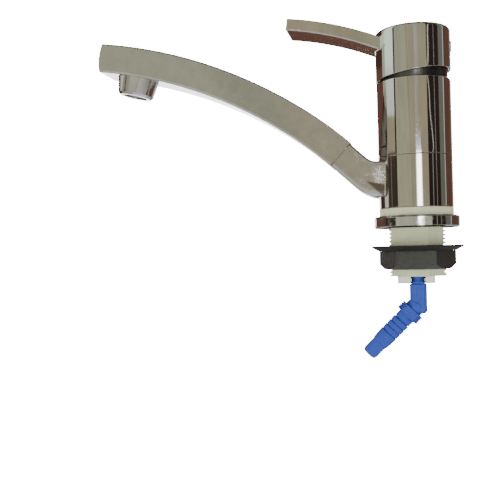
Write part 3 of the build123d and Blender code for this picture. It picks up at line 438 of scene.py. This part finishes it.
# Cold elbow and hose tail: blue moulded plastic, pushed together and free to turn. The tail's collar is
# ridged all round and cut by two flats, and each barb ends in a narrow groove.
tail_centre, tail_axis = np.array([0, -7.0, -44.9]) * mm, np.array([-1, 0, -1]) / np.sqrt(2)
collar_half_flat, collar_foot, collar_top = 5.8, 4.55, 9.82
ridge_pitch, barb_foot, barb_pitch = 1.3, 14.6, 3.4
tail_outline = [(2.4, 1.3, 0), (3.9, 1.3, 0.2), (3.9, 2.1, 0), (2.85, 2.1, 0), (2.85, 3.5, 0), (3.9, 3.5, 0)]
tail_outline += [(3.9, 4.6, 0), (7.2, 4.6, 0.2)]
for ridge in range(4):
    up = ridge_pitch * ridge
    tail_outline += [(7.5, 4.85 + up, 0.1), (7.5, 5.6 + up, 0.1)]
    if ridge < 3:
        tail_outline += [(6.95, 5.75 + up, 0.1), (6.95, 6.05 + up, 0.1)]
tail_outline += [(7.3, 9.8, 0.1), (5.25, 9.8, 0.2), (5.25, 13.9, 0.2), (4.7, 14.0, 0.05)]
tail_outline += [(4.7, barb_foot, 0.05), (5.6, barb_foot, 0.15)]
for barb in range(3):
    start = barb_foot + barb_pitch * barb
    tail_outline += [(5.3, start + 2.95, 0.1), (4.85, start + 3.0, 0.05)]
    tail_outline += [(4.85, start + 3.4, 0.05), (5.6, start + 3.4, 0.15)]
tail_outline += [(5.1, 32.5, 0.1), (4.8, 32.5, 0.05), (4.8, 32.75, 0.05), (4.72, 32.8, 0.1)]
tail_outline += [(4.65, 41.1, 0.6), (3.65, 42.2, 0.4), (2.4, 42.2, 0.2)]


def hose_end(name, columns=144):
    """Turned tail whose collar is cut flat: its radius is min(r, f / |sin a|) between the collar's foot and
    top, for a turn a from the tail's own upright plane."""
    outline = rounded(tail_outline, 4)[None] * mm
    a = np.linspace(0, 2 * np.pi, columns, endpoint=False)[:, None]
    radius, along = outline[:, :, 0], outline[:, :, 1]
    flat = collar_half_flat * mm / np.maximum(np.abs(np.sin(a)), 1e-3)
    collar = (along > collar_foot * mm) & (along < collar_top * mm)
    radius = np.where(collar, np.minimum(radius, flat), radius + 0 * a)[:, :, None]
    side = np.array([-1, 0, 1]) / np.sqrt(2)
    ring = np.cos(a)[:, :, None] * side + np.sin(a)[:, :, None] * np.array([0, 1, 0])
    grid = tail_centre + radius * ring + along[:, :, None] * tail_axis
    return surface(name, grid, wrap_u=True, wrap_v=True, sharp=35.0)


tail_blue, tail_dark = (0.031, 0.069, 0.395), (0.024, 0.057, 0.335)
tail_plastic = moulded("tail_plastic", tail_blue, tail_dark, roughness=0.40, bump=0.06, sheen=0.3)
dress(tail_plastic, "cold_elbow")
stands_for(hose_end("barbed_tail"), "hose_tail", "tail", tail_plastic)


# Studio: a pale paper bowl of floor and wall all round, with a wide bend between the two. It is seen by the
# camera alone, so the chrome shows the room of the next section in its place.
floor_height, floor_radius, wall_bend, wall_top = cad_box[0][2] - 0.8 * mm, 1.6, 0.5, 2.6


def staged(piece, camera=False, glossy=False):
    """Sets a studio piece's ray visibility so that only the camera or only reflections meet it."""
    piece.visible_camera, piece.visible_glossy = camera, glossy
    for ray in ("diffuse", "shadow", "transmission", "volume_scatter"):
        setattr(piece, "visible_" + ray, False)


def glowing(name, colour, strength, other=None):
    """Plain emission, or one that drifts to another colour in soft upright clouds."""
    material = bpy.data.materials.new(name)
    material.use_nodes = True
    tree = material.node_tree
    tree.nodes.clear()
    light = add_node(tree, "Emission", {"Color": (*colour, 1), "Strength": strength})
    if other:
        place = add_node(tree, "TexCoord").outputs["Object"]
        tall = add_node(tree, "Mapping", {"Vector": place, "Scale": (1.0, 1.0, 0.35)})
        cloud = add_node(tree, "TexNoise", {"Vector": tall.outputs["Vector"], "Scale": 2.2, "Detail": 2.0})
        drift = spread(tree, cloud.outputs["Fac"], 0.38, 0.62)
        tone = blend(tree, drift.outputs["Result"], colour, other)
        tree.links.new(tone.outputs["Result"], light.inputs["Color"])
    add_node(tree, "OutputMaterial", {"Surface": light.outputs["Emission"]})
    return material


def turned(name, outline, segments):
    """Surface of an outline of points (r, h) that goes round the upright axis: (r cos a, r sin a, h)."""
    radius, height = np.asarray(outline, float).T
    a = np.linspace(0, 2 * np.pi, segments, endpoint=False)[:, None]
    grid = np.stack([radius * np.cos(a), radius * np.sin(a), 0 * a + height], axis=-1)
    return surface(name, grid, wrap_u=True)


# The outline of the bowl is a flat floor, a quarter circle (R + b sin u, b - b cos u) and an upright wall.
u = np.linspace(0, np.pi / 2, 17)
bend = floor_radius + wall_bend * np.sin(u), floor_height + wall_bend - wall_bend * np.cos(u)
bowl_outline = [(0, floor_height), *zip(*bend), (floor_radius + wall_bend, wall_top)]
bowl = turned("floor_and_wall", bowl_outline, 96)
bowl_material, _, bowl_shader, _ = new_finish("pale_paper")
bowl_shader.inputs["Base Color"].default_value = (0.85, 0.85, 0.84, 1)
bowl_shader.inputs["Roughness"].default_value = 0.9
bowl_shader.inputs["Emission Color"].default_value = (1, 1, 1, 1)
bowl_shader.inputs["Emission Strength"].default_value = 18.0
bowl.data.materials.append(bowl_material)
staged(bowl, camera=True)


# Room that the chrome shows: cards that only reflections meet. Bearings are degrees to the right of the
# camera's side, and heights are degrees above the deck. The ring shows the room near 2 degrees, the collar
# from 3.2 to 8.9, the shell from 8.9 to 17 and the cap the room above.
table_edge, joint, roof = -10, 8.9, 60
brown, slit_light = (0.100, 0.049, 0.037), (0.9, 0.88, 0.8)
table_light, table_shade = (0.60, 0.59, 0.55), (0.45, 0.44, 0.40)


def card(name, bearings, heights, radius, colour, strength, lean=0.0, sway=0.0, other=None):
    """Upright card bent round the tap: radius (sin b, -cos b, tan h) for bearing b and height angle h. Its
    bearings shift by lean t + sway sin 11 t from its foot, t = 0, to its top, t = 1."""
    h = np.radians(np.linspace(*heights, 17))[None, :]
    t = np.linspace(0, 1, 17)[None, :]
    b = np.radians(np.linspace(*bearings, 33)[:, None] + lean * t + sway * np.sin(11 * t))
    grid = radius * np.stack([np.sin(b) + 0 * h, -np.cos(b) + 0 * h, np.tan(h) + 0 * b], axis=-1)
    piece = surface(name, grid)
    piece.data.materials.append(glowing(name, colour, strength, other))
    staged(piece, glossy=True)


room = turned("room", [(0, -3), (3, -3), (3, 3), (0, 3)], 64)
room.data.materials.append(glowing("room", brown, 1.6))
staged(room, glossy=True)
card("wall_behind_camera", (-58, 41), (3, roof), 1.52, (0.50, 0.455, 0.325), 1.0, other=(0.46, 0.435, 0.32))
card("wall_left", (-52, -7), (3, roof), 1.50, (0.51, 0.525, 0.39), 1.0, lean=-37.0, other=(0.48, 0.49, 0.365))
card("post", (-10.5, -6.0), (3, roof), 1.49, (0.385, 0.395, 0.305), 1.0, lean=-37.0, other=(0.41, 0.42, 0.32))
card("wall_below", (-58, 41), (table_edge, 3), 1.50, (0.66, 0.65, 0.52), 1.0)
card("dark_left", (-62, -57), (table_edge, roof), 1.45, (0.05, 0.04, 0.03), 1.0)
card("window_left", (-94, -62), (12.4, roof), 1.45, (0.86, 0.92, 0.92), 1.1)
card("window_top_left", (-94, -62), (16.8, roof), 1.445, (0.84, 0.98, 0.88), 1.35)
card("sill_left", (-94, -62), (joint, 12.4), 1.45, (0.46, 0.43, 0.29), 1.0)
card("shade_left", (-90, -62), (table_edge, joint), 1.46, (0.06, 0.05, 0.04), 1.0)
card("line_left", (-80, -78), (table_edge, joint), 1.42, (0.30, 0.28, 0.22), 1.0)
card("edge_left", (-107, -94), (joint, roof), 1.44, (0.62, 0.60, 0.50), 1.0)
card("bright_edge_left", (-112, -94), (3.2, joint), 1.44, (0.80, 0.80, 0.72), 1.0)
card("dark_edge_left", (-140, -112), (3.2, joint), 1.44, (0.05, 0.04, 0.04), 1.0)
card("shade_high_left", (-150, -107), (17, roof), 1.44, (0.075, 0.042, 0.034), 1.0)
card("lamp", (4.5, 18.5), (0.8, joint), 1.40, (1.0, 1.0, 1.0), 9.0)
card("lamp_rim", (2, 21), (0.8, joint), 1.41, (0.95, 0.96, 1.0), 1.8)
card("lamp_glow", (3, 18), (joint, 10.2), 1.41, (0.66, 0.68, 1.0), 1.5)
card("pale_streak", (3, 13), (10.6, roof), 1.45, (0.51, 0.475, 0.39), 1.0, sway=1.5, other=(0.58, 0.56, 0.53))
card("dark_right", (41, 82), (table_edge, roof), 1.45, (0.035, 0.025, 0.025), 1.0)
card("slit_low", (54, 56), (table_edge, 9), 1.40, slit_light, 0.5)
card("slit_right", (57, 59), (9, 17), 1.40, slit_light, 1.0, lean=-16.0, sway=1.2)
card("slit_high", (43, 46), (17, 24), 1.40, slit_light, 1.0, lean=8.0, sway=1.2)
card("line_right", (66, 67.5), (table_edge, roof), 1.40, slit_light, 0.5, sway=1.5)
card("grey_right", (82, 103), (table_edge, roof), 1.45, (0.20, 0.20, 0.16), 1.0)
card("blue_right", (101, 105), (table_edge, roof), 1.40, (0.55, 0.70, 0.85), 1.0)
card("table", (-75, 60), (-60, table_edge), 1.35, (0.72, 0.70, 0.66), 1.0)
card("table_right", (60, 182), (-60, -16), 1.36, table_light, 1.0, other=table_shade)
card("table_left", (-145, -75), (-60, -16), 1.36, table_light, 1.0, other=table_shade)
card("table_behind", (-178, -145), (-60, -13), 1.36, (0.34, 0.31, 0.28), 1.0, other=(0.26, 0.23, 0.20))
card("rear_wall", (146, 174), (-16, roof), 1.50, (0.46, 0.46, 0.42), 1.0, other=(0.38, 0.38, 0.34))
card("rear_window", (159, 171), (-16, roof), 1.48, (0.85, 0.90, 0.92), 1.1)
card("rear_post", (152, 155), (-16, roof), 1.48, (0.05, 0.045, 0.04), 1.0)
card("far_wall", (-178, -158), (-0.9, 12), 1.40, (0.9, 0.9, 0.9), 5.0)
card("far_wall_left", (-158, -142), (-4, 8.8), 1.40, (0.9, 0.9, 0.9), 4.0)
ceiling = turned("ceiling", [(0, 1.62), (1.3, 1.62)], 48)
ceiling.data.materials.append(glowing("ceiling", (0.12, 0.12, 0.11), 1.0, other=(0.34, 0.34, 0.32)))
staged(ceiling, glossy=True)
bench = turned("bench", [(0, -1.3), (0.8, -1.3)], 48)
bench.data.materials.append(glowing("bench", (0.80, 0.80, 0.95), 1.3))
staged(bench, glossy=True)


# Soft lights: a square one at each side of the camera, a weak one above it, and the pale air of the room.
# The chrome doesn't show them.
def soft_light(name, place, size, power):
    """Square area light at a place, turned to face the origin."""
    light = bpy.data.lights.new(name, "AREA")
    light.shape, light.size, light.energy = "SQUARE", size, power
    lamp = bpy.data.objects.new(name, light)
    back = np.asarray(place, float) / np.linalg.norm(place)
    right = np.cross((0, 0, 1), back)
    right /= np.linalg.norm(right)
    spin = np.stack([right, np.cross(back, right), back], axis=1)
    lamp.matrix_world = Matrix.Translation(place) @ Matrix(spin.tolist()).to_4x4()
    lamp.visible_glossy = False
    bpy.context.collection.objects.link(lamp)


soft_light("key", (0.1, -1.1, 0.9), 0.9, 2.0)
soft_light("left_fill", (-1.15, -0.75, -0.3), 0.8, 20.0)
soft_light("right_fill", (1.15, -0.65, -0.3), 0.8, 17.0)
world = bpy.data.worlds.new("air")
world.use_nodes = True
world.node_tree.nodes["Background"].inputs["Color"].default_value = (1.0, 0.99, 0.97, 1)
world.node_tree.nodes["Background"].inputs["Strength"].default_value = 0.55
bpy.context.scene.world = world


# Camera: 45 cm from the tap's axis and a little below the deck, turned to the left and rolled as in the
# photograph.
view = bpy.data.cameras.new("camera")
view.sensor_fit, view.sensor_width, view.lens = "HORIZONTAL", 36.0, 55.11
camera = bpy.data.objects.new("camera", view)
camera.location = (-0.00221, -0.45374, -0.01204)
camera.rotation_euler = np.radians((90.512, 1.300, 13.287))
bpy.context.collection.objects.link(camera)
bpy.context.scene.camera = camera
